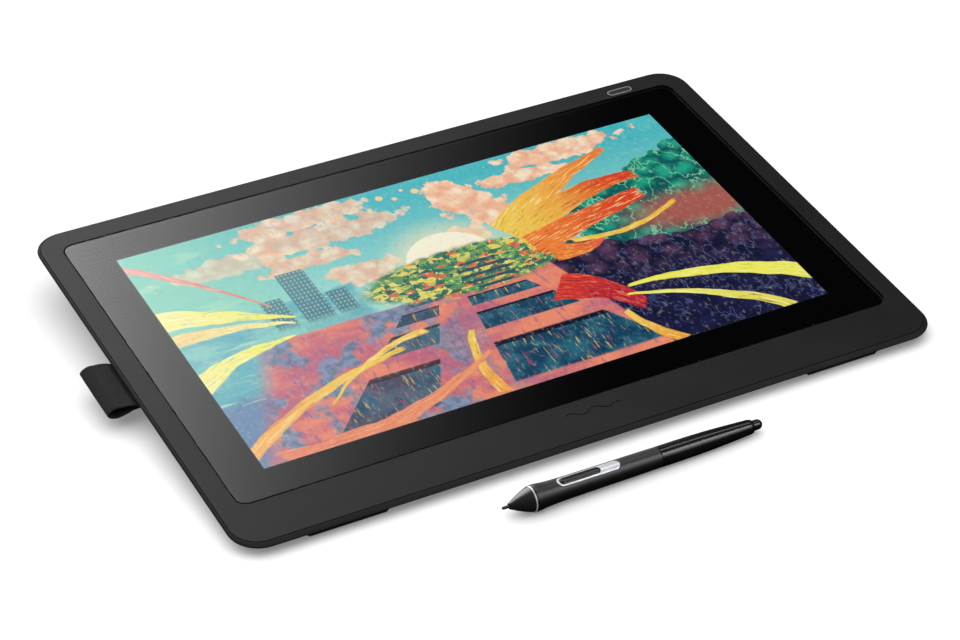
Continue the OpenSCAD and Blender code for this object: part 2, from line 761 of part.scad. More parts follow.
front_bezel();
cover_glass();
panel_gasket();
lcd_panel();
optical_film_stack();
light_guide();
backlight_reflector();
led_strip();
lcd_rear_tray();
panel_driver_board();
digitizer_board();
shield_plate();
chassis_plate();
main_board();
main_board_chips();
heat_spreader();
port_connector();
panel_ribbon();
digitizer_ribbon();
button_board();
button_switch();
power_button();
power_light_ring();
rear_cover();
left_leg();
right_leg();
left_leg_foot();
right_leg_foot();
leg_hinge_pins();
leg_detent_springs();
front_feet();
stand_inserts();
casing_screws();
chassis_screws();
board_screws();
loop_clip();
pen_loop();
spare_nibs();
nib_puller();
lock_plate();
pen_nib();
pen_nose_cone();
pen_ring();
pen_grip();
pen_switch_frame();
pen_switch_rocker();
pen_barrel();
pen_eraser();
pen_inner_tube();
pen_nib_core();
pen_nib_coil();
pen_pressure_sensor();
pen_circuit_board();
pen_switch_domes();
pen_eraser_holder();
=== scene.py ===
# Looks of the pen drawing tablet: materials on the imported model, the pieces that need finer
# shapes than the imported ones, a pale studio floor, soft lights and the camera.
import json
import math

import bmesh
import bpy
import numpy as np
from mathutils import Matrix, Vector


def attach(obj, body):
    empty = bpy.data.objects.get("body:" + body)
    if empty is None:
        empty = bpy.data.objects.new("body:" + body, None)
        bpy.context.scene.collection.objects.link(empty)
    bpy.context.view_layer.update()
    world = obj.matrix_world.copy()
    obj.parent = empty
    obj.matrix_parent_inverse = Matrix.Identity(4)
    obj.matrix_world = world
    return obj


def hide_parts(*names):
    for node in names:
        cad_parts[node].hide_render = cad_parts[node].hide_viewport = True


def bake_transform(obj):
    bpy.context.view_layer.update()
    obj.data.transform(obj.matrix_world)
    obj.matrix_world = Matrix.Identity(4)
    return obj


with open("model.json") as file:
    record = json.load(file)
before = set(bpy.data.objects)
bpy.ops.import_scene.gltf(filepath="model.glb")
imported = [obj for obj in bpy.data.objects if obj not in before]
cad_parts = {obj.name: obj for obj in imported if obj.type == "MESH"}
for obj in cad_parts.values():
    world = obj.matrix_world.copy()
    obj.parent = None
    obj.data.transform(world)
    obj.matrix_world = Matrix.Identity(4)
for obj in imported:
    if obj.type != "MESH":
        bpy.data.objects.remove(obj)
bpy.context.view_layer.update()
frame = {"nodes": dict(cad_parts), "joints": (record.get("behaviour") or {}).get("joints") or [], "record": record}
NODES = frame["nodes"]
JOINTS = {joint["name"]: joint for joint in frame["joints"]}
SLOTS = {part["node"]: part["material_slot"] for part in frame["record"]["subparts"]}
MM = 0.001
LIT_AREA = (344.16, 193.59)
RIB_PITCH = 0.85

# ---------------------------------------------------------------------------------------
# Frames. Shapes are drawn in millimetres in the casing's or the pen's own frame.


def joint_axis(name):
    return Vector(JOINTS[name]["axis"]).normalized()


def turned_frame(x_axis, z_axis):
    """A rotation whose columns are the three axes of a frame."""
    return Matrix((x_axis, z_axis.cross(x_axis), z_axis)).transposed()


def span(node, place):
    """Lowest and highest corner of a CAD node in a frame, in that frame's own units."""
    back = place.inverted()
    points = np.array([back @ vertex.co for vertex in NODES[node].data.vertices])
    return Vector(points.min(0)), Vector(points.max(0))


def placed(turn, origin):
    return turn.to_4x4() @ Matrix.Scale(MM, 4) @ Matrix.Translation(origin)


def casing_place():
    """Origin at the screen's centre on the top face; x right, y back, z out of the face."""
    turn = turned_frame(Vector((1, 0, 0)), -joint_axis("power_button_press"))
    bare = placed(turn, Vector((0, 0, 0)))
    low, high = span("lcd_panel", bare)
    top = span("front_bezel", bare)[1].z
    return placed(turn, Vector(((low.x + high.x) / 2, (low.y + high.y) / 2, top)))


def pen_place():
    """Origin at the nib's tip; x runs up the pen and z points at the side switch."""
    x_axis = joint_axis("pen_nib_press")
    turn = turned_frame(x_axis, x_axis.cross(joint_axis("pen_switch_rock")))
    bare = placed(turn, Vector((0, 0, 0)))
    low, high = span("pen_barrel", bare)
    tip = span("pen_nib", bare)[0].x
    return placed(turn, Vector((tip, (low.y + high.y) / 2, (low.z + high.z) / 2)))


CASING = casing_place()
PEN = pen_place()

# ---------------------------------------------------------------------------------------
# Mesh helpers


def rounded_outline(low, high, radius, inset=0.0, steps=10):
    """Points of a rounded rectangle between two corners, drawn anticlockwise."""
    points = []
    corner = radius - inset
    x_mid, y_mid = (low[0] + high[0]) / 2, (low[1] + high[1]) / 2
    x_reach = (high[0] - low[0]) / 2 - radius
    y_reach = (high[1] - low[1]) / 2 - radius
    for x_side, y_side, start in ((1, 1, 0), (-1, 1, 90), (-1, -1, 180), (1, -1, 270)):
        for step in range(steps + 1):
            angle = math.radians(start + 90 * step / steps)
            points.append((
                x_mid + x_side * x_reach + corner * math.cos(angle),
                y_mid + y_side * y_reach + corner * math.sin(angle),
            ))
    return points


def loft(loops, closed=False):
    """Points and faces of a skin over equal loops; closed joins the last loop to the first."""
    count = len(loops[0])
    rows = len(loops)
    points = [point for loop in loops for point in loop]
    faces = []
    for row in range(rows if closed else rows - 1):
        here = row * count
        there = (row + 1) % rows * count
        for i in range(count):
            j = (i + 1) % count
            faces.append((here + i, here + j, there + j, there + i))
    if not closed:
        faces.append(tuple(range(count))[::-1])
        faces.append(tuple(range((rows - 1) * count, rows * count)))
    return points, faces


def make_piece(name, points, faces, place, body, slot, replaces=(), look=None):
    """A smooth mesh from points in a frame, riding on a body, in its slot's material or a look."""
    mesh = bpy.data.meshes.new(name)
    mesh.from_pydata([tuple(place @ Vector(point)) for point in points], [], faces)
    shape = bmesh.new()
    shape.from_mesh(mesh)
    bmesh.ops.recalc_face_normals(shape, faces=shape.faces)
    shape.to_mesh(mesh)
    shape.free()
    mesh.shade_smooth()
    piece = bpy.data.objects.new(name, mesh)
    bpy.context.scene.collection.objects.link(piece)
    mesh.materials.append(MATERIALS[look or slot])
    if replaces:
        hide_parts(*replaces)
    if body:
        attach(piece, body)
    return piece


def sharp_by_angle(piece, degrees=35):
    piece.data.set_sharp_from_angle(angle=math.radians(degrees))


def soften_edges(piece, width, segments=2, angle=32):
    """Rounds the hard edges of a mesh by a small radius, in millimetres."""
    weld = piece.modifiers.new("join_faces", "WELD")
    weld.merge_threshold = 0.001 * MM
    bevel = piece.modifiers.new("edge_radius", "BEVEL")
    bevel.width = width * MM
    bevel.segments = segments
    bevel.limit_method = "ANGLE"
    bevel.angle_limit = math.radians(angle)
    bevel.miter_outer = "MITER_ARC"
    normals = piece.modifiers.new("even_normals", "WEIGHTED_NORMAL")
    normals.keep_sharp = True


def dress_node(node, width):
    """Gives a CAD node its material and, when width isn't zero, rounded edges."""
    piece = NODES[node]
    piece.data.materials.clear()
    piece.data.materials.append(MATERIALS[SLOTS[node]])
    if width:
        for layer in ("custom_normal", "sharp_edge"):
            if layer in piece.data.attributes:
                piece.data.attributes.remove(piece.data.attributes[layer])
        piece.data.shade_smooth()
        soften_edges(piece, width)


# ---------------------------------------------------------------------------------------
# Materials


def srgb(red, green, blue):
    """A display colour, 0 to 255, as the linear colour that the renderer works in."""
    linear = []
    for value in (red, green, blue):
        share = value / 255
        linear.append(share / 12.92 if share < 0.04045 else ((share + 0.055) / 1.055) ** 2.4)
    return (*linear, 1.0)


class Field:
    """A number that varies over a surface. Arithmetic on it adds math nodes."""

    def __init__(self, paint, socket):
        self.paint = paint
        self.socket = socket

    def math(self, operation, *others):
        node = self.paint.add("ShaderNodeMath", operation=operation)
        for slot, value in zip(node.inputs, (self, *others)):
            self.paint.feed(slot, value)
        return Field(self.paint, node.outputs[0])

    def __add__(self, other):
        return self.math("ADD", other)

    __radd__ = __add__

    def __mul__(self, other):
        return self.math("MULTIPLY", other)

    __rmul__ = __mul__

    def __sub__(self, other):
        return self.math("SUBTRACT", other)

    def __rsub__(self, other):
        return (self * -1) + other

    def __truediv__(self, other):
        return self.math("DIVIDE", other)

    def __abs__(self):
        return self.math("ABSOLUTE")

    def step(self, low, high):
        """0 at low and beyond, 1 at high and beyond, smooth between; low may be the larger."""
        node = self.paint.add("ShaderNodeMapRange", interpolation_type="SMOOTHSTEP")
        for key, value in (("Value", self), ("From Min", low), ("From Max", high)):
            self.paint.feed(node.inputs[key], value)
        return Field(self.paint, node.outputs["Result"])


class Paint:
    """A material, or a node group, under construction, with short ways to add its nodes."""

    def __init__(self, name, group=None):
        self.tree = group
        if group is None:
            self.material = bpy.data.materials.new(name)
            self.material.use_nodes = True
            self.tree = self.material.node_tree
            self.tree.nodes.clear()

    def feed(self, socket, value):
        if isinstance(value, Field):
            value = value.socket
        if isinstance(value, bpy.types.NodeSocket):
            self.tree.links.new(value, socket)
        else:
            socket.default_value = value

    def add(self, kind, inputs=None, **settings):
        node = self.tree.nodes.new(kind)
        for key, value in settings.items():
            setattr(node, key, value)
        for key, value in (inputs or {}).items():
            self.feed(node.inputs[key], value)
        return node

    def position(self):
        """The point on the surface at rest, in millimetres."""
        where = self.add("ShaderNodeTexCoord").outputs["Object"]
        scaled = self.add("ShaderNodeVectorMath", {0: where}, operation="SCALE")
        scaled.inputs["Scale"].default_value = 1 / MM
        return scaled.outputs["Vector"]

    def along(self, place, axis):
        """Distance along one axis of the casing's or the pen's frame, in millimetres."""
        back = place.inverted()
        where = self.add("ShaderNodeTexCoord").outputs["Object"]
        row = self.add("ShaderNodeVectorMath", {0: where}, operation="DOT_PRODUCT")
        row.inputs[1].default_value = tuple(back[axis][:3])
        return Field(self, row.outputs["Value"]) + back[axis][3]

    def vector(self, x, y, z=0.0):
        return self.add("ShaderNodeCombineXYZ", {"X": x, "Y": y, "Z": z}).outputs["Vector"]

    def stretched(self, vector, scale):
        node = self.add("ShaderNodeVectorMath", {0: vector}, operation="MULTIPLY")
        node.inputs[1].default_value = scale
        return node.outputs["Vector"]

    def noise(self, vector, size, detail=2.0, roughness=0.5):
        """Soft random values about 0.5, with features of about size."""
        node = self.add("ShaderNodeTexNoise", {"Vector": vector, "Scale": 1 / size})
        node.inputs["Detail"].default_value = detail
        node.inputs["Roughness"].default_value = roughness
        return Field(self, node.outputs["Fac"])

    def noise_pair(self, vector, size, detail=2.0):
        node = self.add("ShaderNodeTexNoise", {"Vector": vector, "Scale": 1 / size})
        node.inputs["Detail"].default_value = detail
        parts = self.add("ShaderNodeSeparateColor", {"Color": node.outputs["Color"]})
        return Field(self, parts.outputs["Red"]), Field(self, parts.outputs["Green"])

    def cells(self, vector, size, feature="F1"):
        node = self.add("ShaderNodeTexVoronoi", {"Vector": vector, "Scale": 1 / size}, feature=feature)
        return Field(self, node.outputs["Distance"]), node.outputs.get("Color")

    def mix(self, share, first, second):
        node = self.add("ShaderNodeMix", {0: share}, data_type="RGBA")
        self.feed(node.inputs[6], first)
        self.feed(node.inputs[7], second)
        return node.outputs[2]

    def bump(self, height, depth):
        """A normal for height values 0 to 1 that stand for depth, in millimetres."""
        node = self.add("ShaderNodeBump", {"Height": height})
        node.inputs["Distance"].default_value = depth * MM
        return node.outputs["Normal"]

    def mix_shaders(self, share, first, second):
        node = self.add("ShaderNodeMixShader", {0: share})
        self.tree.links.new(first.outputs[0], node.inputs[1])
        self.tree.links.new(second.outputs[0], node.inputs[2])
        return node.outputs[0]

    def finish(self, shader):
        output = self.add("ShaderNodeOutputMaterial")
        self.tree.links.new(shader, output.inputs["Surface"])
        return self.material

    def principled(self, **inputs):
        names = {key.replace("_", " "): value for key, value in inputs.items()}
        node = self.add("ShaderNodeBsdfPrincipled")
        by_name = {socket.name.lower(): socket for socket in node.inputs}
        for key, value in names.items():
            self.feed(by_name[key.lower()], value)
        return self.finish(node.outputs["BSDF"])


def moulded(name, colour, rough, grain=0.45, depth=0.02, tone_and_grain_shade=0.12, specular=0.4, coat=0.0):
    """Moulded plastic or rubber: a spark-eroded grain, faint mottling and handling marks. The mottling is mostly
    random tone, but a small share is painted darker in the grain's pits and lighter on its peaks, as painted shade
    and highlight.
    """
    paint = Paint(name)
    where = paint.position()
    speckle = paint.noise(where, grain, 3.0, 0.6)
    cloud = paint.noise(where, 38, 4.0, 0.6)
    wipe = paint.noise(paint.stretched(where, (0.25, 1, 1)), 9, 3.0, 0.65)
    lighter = tuple(min(1.0, part * (1 + 2.2 * tone_and_grain_shade)) for part in colour[:3]) + (1.0,)
    darker = tuple(part * (1 - tone_and_grain_shade) for part in colour[:3]) + (1.0,)
    # Random tone from the cloud, plus painted shade in the grain's pits and painted highlight on its peaks from
    # the speckle share
    shade = paint.mix(cloud.step(0.3, 0.7) * 0.7 + speckle.step(0.35, 0.75) * 0.3, darker, lighter)
    roughness = (cloud - 0.5) * 0.10 + (wipe - 0.5) * 0.08 + (speckle - 0.5) * 0.10 + rough
    return paint.principled(
        base_color=shade, roughness=roughness, specular_ior_level=specular,
        coat_weight=coat, coat_roughness=0.25, normal=paint.bump(speckle, depth))


def metal(name, colour, rough, stretch=(1, 1, 1), grain=0.6, depth=0.006, bare=1.0):
    """Metal, or metal paint when bare is under 1, with a fine drawn or tumbled grain."""
    paint = Paint(name)
    where = paint.position()
    streak = paint.noise(paint.stretched(where, stretch), grain, 4.0, 0.65)
    stain = paint.noise(where, 14, 3.0)
    shade = paint.mix(stain.step(0.3, 0.7), tuple(0.82 * part for part in colour[:3]) + (1.0,), colour)
    return paint.principled(
        base_color=shade, metallic=bare, roughness=(streak - 0.5) * 0.22 + rough,
        normal=paint.bump(streak, depth))


def clear_sheet(name, colour, rough):
    """A clear acrylic or film sheet with a faint haze."""
    paint = Paint(name)
    haze = paint.noise(paint.position(), 6, 3.0)
    return paint.principled(
        base_color=colour, roughness=(haze - 0.5) * 0.1 + rough, transmission_weight=0.8, ior=1.49)


def board_paint(name):
    """Solder mask over copper tracks, with bright pads."""
    paint = Paint(name)
    where = paint.position()
    edge, _ = paint.cells(where, 2.6, "DISTANCE_TO_EDGE")
    track = edge.step(0.06, 0.03)
    pad, _ = paint.cells(where, 3.4)
    mask = paint.mix(track, srgb(12, 74, 52), srgb(30, 118, 78))
    shade = paint.mix(pad.step(0.13, 0.10), mask, srgb(214, 178, 96))
    return paint.principled(
        base_color=shade, roughness=0.42, metallic=pad.step(0.13, 0.10),
        normal=paint.bump(track, 0.03))


def ribbon_paint(name):
    """Amber film with copper traces along it."""
    paint = Paint(name)
    trace = (paint.along(CASING, 0) * (2 * math.pi / 0.8)).math("SINE")
    shade = paint.mix(trace.step(-0.2, 0.3), srgb(196, 120, 26), srgb(226, 158, 60))
    return paint.principled(base_color=shade, roughness=0.35, normal=paint.bump(trace, 0.02))


def wound_copper(name):
    """Enamelled wire, wound side by side round the pen's axis, painted darker in the grooves between turns and
    lighter on their crests, as painted shade and highlight.
    """
    paint = Paint(name)
    turn = (paint.along(PEN, 0) * (2 * math.pi / 0.22)).math("SINE")
    # Painted shade in the grooves between turns and painted highlight on their crests
    shade = paint.mix(turn.step(-0.8, 0.9), srgb(92, 38, 14), srgb(206, 112, 54))
    return paint.principled(
        base_color=shade, metallic=0.9, roughness=0.3, normal=paint.bump(turn, 0.06))


def woven(name):
    """Ribbed polyester webbing: weft ribs crossed by fine warp yarns, with stray fuzz, painted darker in the
    weave's low parts and lighter on its crests, as painted shade and highlight.
    """
    paint = Paint(name)
    across = paint.along(CASING, 1)
    where = paint.position()
    weft = (across * (2 * math.pi / RIB_PITCH)).math("SINE")
    yarn = paint.noise(paint.stretched(where, (3.2, 0.6, 3.2)), 0.7, 3.0, 0.6)
    fuzz = paint.noise(where, 0.16, 2.0)
    height = (weft * 0.25 + 0.5) + (yarn - 0.5) * 0.9 + (fuzz - 0.5) * 0.5
    # The colour follows the weave's height: painted shade between ribs and yarns, painted highlight on their
    # crests
    shade = paint.mix(height.step(0.2, 0.95), srgb(8, 8, 9), srgb(46, 46, 48))
    return paint.principled(
        base_color=shade, roughness=0.9, specular_ior_level=0.15, sheen_weight=0.12,
        sheen_roughness=0.4, normal=paint.bump(height, 0.09))


def thread(name):
    paint = Paint(name)
    twist = paint.noise(paint.stretched(paint.position(), (1, 3, 3)), 0.3, 2.0)
    # The colour follows the twist's bumps: painted shade in its grooves, painted highlight on its crests
    shade = paint.mix(twist, srgb(26, 26, 27), srgb(60, 60, 62))
    return paint.principled(base_color=shade, roughness=0.7, normal=paint.bump(twist, 0.05))


def cover_glass_paint(name):
    """Coated glass: clear from above, with a slightly softened mirror of the room on its face."""
    paint = Paint(name)
    where = paint.position()
    smear = paint.noise(paint.stretched(where, (1, 0.3, 1)), 30, 4.0, 0.6)
    gloss = paint.add("ShaderNodeBsdfGlossy", {"Roughness": (smear - 0.5) * 0.03 + 0.05})
    clear = paint.add("ShaderNodeBsdfTransparent", {"Color": (0.97, 0.985, 0.98, 1)})
    fresnel = paint.add("ShaderNodeFresnel", {"IOR": 1.5})
    shape = paint.add("ShaderNodeNewGeometry").outputs
    outside = Field(paint, shape["Backfacing"]) * -1 + 1
    upward = paint.add("ShaderNodeVectorMath", {0: shape["True Normal"]}, operation="DOT_PRODUCT")
    upward.inputs[1].default_value = tuple(-joint_axis("power_button_press"))
    face = Field(paint, upward.outputs["Value"]).step(0.9, 0.98)
    share = Field(paint, fresnel.outputs[0]) * outside * face
    return paint.finish(paint.mix_shaders(share, clear, gloss))


def glowing_ring(name):
    """The diffuser round the power button, lit faintly from inside."""
    paint = Paint(name)
    patch = paint.noise(paint.position(), 3, 2.0)
    shade = paint.mix(patch, srgb(96, 92, 87), srgb(132, 127, 121))
    return paint.principled(
        base_color=shade, roughness=0.35, emission_color=shade, emission_strength=0.10)


def led_paint(name):
    paint = Paint(name)
    phosphor = paint.noise(paint.position(), 0.5, 2.0)
    shade = paint.mix(phosphor, srgb(236, 214, 120), srgb(250, 240, 190))
    return paint.principled(base_color=shade, roughness=0.3, emission_color=shade, emission_strength=0.4)


def foam(name):
    """Closed-cell foam tape, painted darker in the cells' hollows and lighter on the walls between them, as
    painted shade and highlight.
    """
    paint = Paint(name)
    cell, _ = paint.cells(paint.position(), 0.35)
    # Painted shade in the cells' hollows and painted highlight on the walls between them
    shade = paint.mix(cell.step(0.1, 0.7), srgb(14, 14, 14), srgb(44, 44, 44))
    return paint.principled(base_color=shade, roughness=0.95, normal=paint.bump(cell, 0.08))


# ---------------------------------------------------------------------------------------
# The picture on the screen: a made-up landscape of plain shapes, painted layer over layer.
# x and y run in millimetres from the screen's centre.


class Picture:
    """Colour layers over a plane, and the masks that shape them."""

    def __init__(self, paint, x, y, colour):
        self.paint = paint
        self.x = x
        self.y = y
        self.colour = colour

    def cover(self, mask, colour):
        self.colour = self.paint.mix(mask, self.colour, colour)

    def shifted(self, size, amount, seed):
        """x and y pushed about by noise, which gives edges a brushed look."""
        drift_x, drift_y = self.paint.noise_pair(self.paint.vector(self.x, self.y, seed), size, 4.0)
        return self.x + (drift_x - 0.5) * (2 * amount), self.y + (drift_y - 0.5) * (2 * amount)

    def grain(self, size, seed, stretch_x=1.0, stretch_y=1.0, detail=4.0):
        vector = self.paint.vector(self.x * stretch_x, self.y * stretch_y, seed)
        return self.paint.noise(vector, size, detail, 0.6)

    def distance(self, at, x_scale=1.0, y_scale=1.0, point=None):
        x, y = point or (self.x, self.y)
        dx = (x - at[0]) * (1 / x_scale)
        dy = (y - at[1]) * (1 / y_scale)
        return (dx * dx + dy * dy).math("SQRT")


def paint_sky(art):
    """A teal sky, with green mist at the left."""
    height = art.y.step(-10, 95)
    sky = art.paint.mix(height, srgb(168, 224, 214), srgb(72, 186, 196))
    mist = art.x.step(-40, -165)
    art.colour = art.paint.mix(mist * 0.75, sky, srgb(142, 212, 184))
    art.cover(art.grain(34, 1.0).step(0.52, 0.7) * 0.5, srgb(112, 208, 200))
    art.cover(art.grain(16, 2.0, 0.5, 1.6).step(0.56, 0.66) * mist * 0.6, srgb(176, 224, 190))


def paint_clouds(art):
    """Peach clouds, each a centre, half its width, half its height and its strength."""
    banks = (
        ((-118, 66), 42, 9, 0.55), ((-75, 52), 30, 8, 0.8), ((-58, 70), 50, 12, 0.75),
        ((-66, 88), 44, 9, 0.8), ((28, 66), 18, 13, 1.0), ((22, 78), 12, 12, 1.0),
        ((40, 50), 16, 17, 1.0), ((70, 74), 30, 7, 1.0), ((104, 88), 44, 10, 1.0),
        ((-50, 30), 24, 10, 0.8), ((16, 36), 14, 10, 0.9),
    )
    billow, _ = art.paint.cells(art.paint.vector(art.x, art.y, 4.0), 9)
    edge = art.grain(9, 3.0)
    warm = art.grain(7, 5.0).step(0.38, 0.66)
    shade = art.paint.mix(warm, srgb(250, 196, 160), srgb(255, 233, 206))
    shade = art.paint.mix(billow.step(0.35, 0.75) * 0.6, shade, srgb(240, 160, 128))
    for centre, wide, tall, strength in banks:
        reach = art.distance(centre, wide, tall) + (edge - 0.5) * 1.5 + (billow - 0.4) * 0.5
        art.cover(reach.step(1.04, 0.94) * strength, shade)


def paint_sun(art):
    """A low pale sun with its glow, and five small discs above it."""
    at = (-2, 17)
    glow = art.distance(at)
    art.cover(glow.step(46, 24) * 0.55, srgb(250, 236, 190))
    art.cover(glow.step(27.6, 27.0), srgb(255, 246, 222))
    art.cover(glow.step(27, 10) * 0.35 * art.grain(10, 8.0).step(0.4, 0.7), srgb(255, 226, 170))
    discs = (((-14, 88), 2.2), ((-6, 84), 1.6), ((8, 86), 2.4), ((1, 90), 1.2), ((-24, 80), 1.4))
    for centre, radius in discs:
        art.cover(art.distance(centre).step(radius + 0.3, radius - 0.3), srgb(250, 214, 150))


def paint_hills(art):
    """Billowing teal hills at the upper right and a dark purple bank below them."""
    billow, _ = art.paint.cells(art.paint.vector(art.x, art.y * 1.15, 6.0), 12)
    fine, _ = art.paint.cells(art.paint.vector(art.x, art.y, 7.0), 6)
    rough = billow * 11 + fine * 4
    veins = art.grain(13, 9.0, 1.0, 0.6)
    ridge = art.y - (art.x - 84) * 0.36 - 46 + rough
    inside = ridge.step(0.4, -0.4) * (art.x - rough * 0.8).step(68, 70)
    leafy = art.paint.mix(billow.step(0.1, 0.7), srgb(36, 168, 138), srgb(12, 92, 92))
    leafy = art.paint.mix((abs(veins - 0.5)).step(0.02, 0.008) * 0.8, leafy, srgb(132, 216, 170))
    art.cover(inside, leafy)
    haze = art.distance((150, 6), 56, 22, art.shifted(24, 8, 10.0))
    art.cover(haze.step(1.1, 0.3) * 0.95, srgb(176, 92, 84))
    bank_edge = art.y + rough - (art.x - 60).step(60, -10) * 22 + 4
    bank = bank_edge.step(0.4, -0.4) * (art.x + billow * 14).step(34, 40)
    dusk = art.paint.mix(art.y.step(-4, -60), srgb(96, 62, 92), srgb(34, 34, 74))
    dusk = art.paint.mix(billow.step(0.15, 0.75), dusk, srgb(24, 26, 56))
    dusk = art.paint.mix((abs(veins - 0.55)).step(0.016, 0.006) * 0.5, dusk, srgb(96, 104, 150))
    art.cover(bank, dusk)


def paint_left_water(art):
    """Teal water at the left, a deeper blue in its lower corner."""
    x, y = art.shifted(30, 9, 12.0)
    sea = (y - 30 - x * 0.05).step(1, -1) * (x + 62).step(3, -3)
    ripple = art.grain(22, 13.0, 0.5, 1.8).step(0.4, 0.65)
    art.cover(sea * 0.95, art.paint.mix(ripple, srgb(96, 176, 190), srgb(142, 204, 198)))
    deep = (y + 42).step(6, -6) * (x + 100).step(20, -6)
    art.cover(deep * 0.85, srgb(104, 128, 172))
    art.cover(art.grain(10, 14.0, 0.4, 2.4).step(0.6, 0.66) * sea * 0.6, srgb(196, 226, 206))


def paint_towers(art):
    """Three plain tower blocks with rows of windows, fading into the mist."""
    for middle, half, top in ((-91, 8.5, 47), (-111, 6.5, 28), (-74, 6, 22)):
        wall = (abs(art.x - middle) - half).step(0.3, -0.3)
        body = wall * (art.y - top).step(0.3, -0.3) * art.y.step(-2, 6)
        art.cover(body * 0.9, srgb(66, 122, 140))
        columns = (art.x * (2 * math.pi / 2.4)).math("SINE").step(0.1, 0.5)
        rows = (art.y * (2 * math.pi / 3.2)).math("SINE").step(-0.3, 0.2)
        art.cover(body * columns * rows * 0.7, srgb(170, 208, 190))


def paint_ground(art):
    """Coral ground with dark slabs that step away to the sun."""
    x, y = art.shifted(18, 1.2, 15.0)
    ground = (y + 6).step(1, -1) * (x - 62 + (y + 60) * 0.3).step(1, -1)
    ground = ground * (x + 128 - y * 0.4).step(-8, 8)
    warm = art.grain(26, 16.0, 0.7, 1.5).step(0.35, 0.65)
    art.cover(ground, art.paint.mix(warm, srgb(196, 104, 128), srgb(242, 142, 112)))
    cool = art.grain(24, 23.0, 1.0, 0.8).step(0.46, 0.56) * art.x.step(10, -60)
    blue = art.grain(6, 24.0).step(0.4, 0.6)
    art.cover(ground * cool * 0.9, art.paint.mix(blue, srgb(70, 128, 150), srgb(128, 150, 186)))
    art.cover(ground * art.grain(9, 17.0, 2.2, 0.5).step(0.58, 0.64) * 0.55, srgb(120, 96, 160))
    horizon, meeting_x = 34, -4
    below = (art.y * -1 + horizon) * 0.01
    inward = (art.x - meeting_x) / (below * 100)
    depth = below.math("POWER", -1.0)
    rows = (depth * 2.1 + 0.35).math("FRACT")
    slab_row = rows.step(0.02, 0.05) * rows.step(0.62, 0.59)
    streaks = art.grain(5, 18.0, 3.0, 0.35)
    tops = art.paint.mix(art.grain(14, 19.0).step(0.4, 0.6), srgb(20, 66, 96), srgb(42, 104, 126))
    tops = art.paint.mix(streaks.step(0.60, 0.66) * 0.7, tops, srgb(232, 196, 106))
    tops = art.paint.mix(streaks.step(0.38, 0.33) * 0.6, tops, srgb(214, 92, 118))
    for low, high, strength in ((-0.15, 0.62, 1.0), (-0.98, -0.5, 0.9)):
        lane = inward.step(low, low + 0.01) * inward.step(high, high - 0.01)
        region = (art.y + 2).step(1, -1) * ground
        art.cover(region * lane * slab_row * strength, tops)
        lip = rows.step(0.57, 0.60) * rows.step(0.70, 0.66)
        art.cover(region * lane * lip * strength, srgb(16, 26, 48))


def paint_foliage(art):
    """A dappled garden in the middle, in greens, yellows and a little orange."""
    x, y = art.shifted(12, 5, 20.0)
    reach = art.distance((2, 8), 66, 21, (x, y))
    patch = reach.step(1.05, 0.85)
    _, tint = art.paint.cells(art.paint.vector(art.x * 0.8, art.y * 1.5, 21.0), 4.2)
    parts = art.paint.add("ShaderNodeSeparateColor", {"Color": tint})
    pick = Field(art.paint, parts.outputs["Red"])
    shade = art.paint.mix(pick.step(0.1, 0.5), srgb(44, 110, 96), srgb(110, 168, 92))
    shade = art.paint.mix(pick.step(0.55, 0.7), shade, srgb(232, 214, 104))
    shade = art.paint.mix(pick.step(0.84, 0.9), shade, srgb(226, 110, 70))
    art.cover(patch, shade)
    dapple = art.grain(3.2, 22.0)
    art.cover(patch * dapple.step(0.58, 0.63) * 0.8, srgb(250, 232, 150))
    art.cover(patch * dapple.step(0.42, 0.37) * 0.75, srgb(28, 78, 92))
    steps = (art.y * (2 * math.pi / 5.5)).math("SINE").step(0.1, 0.4)
    stair = art.distance((10, 2), 17, 16).step(1.0, 0.93) * steps
    art.cover(stair, srgb(58, 82, 96))


def picture_group(name, numbers=(), colours=()):
    """A node group over x, y and a colour, its inputs, and the picture to draw inside it."""
    tree = bpy.data.node_groups.new(name, "ShaderNodeTree")
    for label in ("X", "Y", *numbers):
        tree.interface.new_socket(label, in_out="INPUT", socket_type="NodeSocketFloat")
    for label in ("Colour", *colours):
        tree.interface.new_socket(label, in_out="INPUT", socket_type="NodeSocketColor")
    tree.interface.new_socket("Result", in_out="OUTPUT", socket_type="NodeSocketColor")
    paint = Paint(name, tree)
    given = paint.add("NodeGroupInput").outputs
    x, y = Field(paint, given["X"]), Field(paint, given["Y"])
    return tree, given, Picture(paint, x, y, given["Colour"])


def close_group(art):
    art.paint.feed(art.paint.add("NodeGroupOutput").inputs["Result"], art.colour)


SILK_NUMBERS = (
    "Start X", "Start Y", "End X", "End Y", "Bend", "Start Width", "End Width", "Seed", "Soft")
SILK_COLOURS = ("Head", "Tail", "Bright", "Deep")


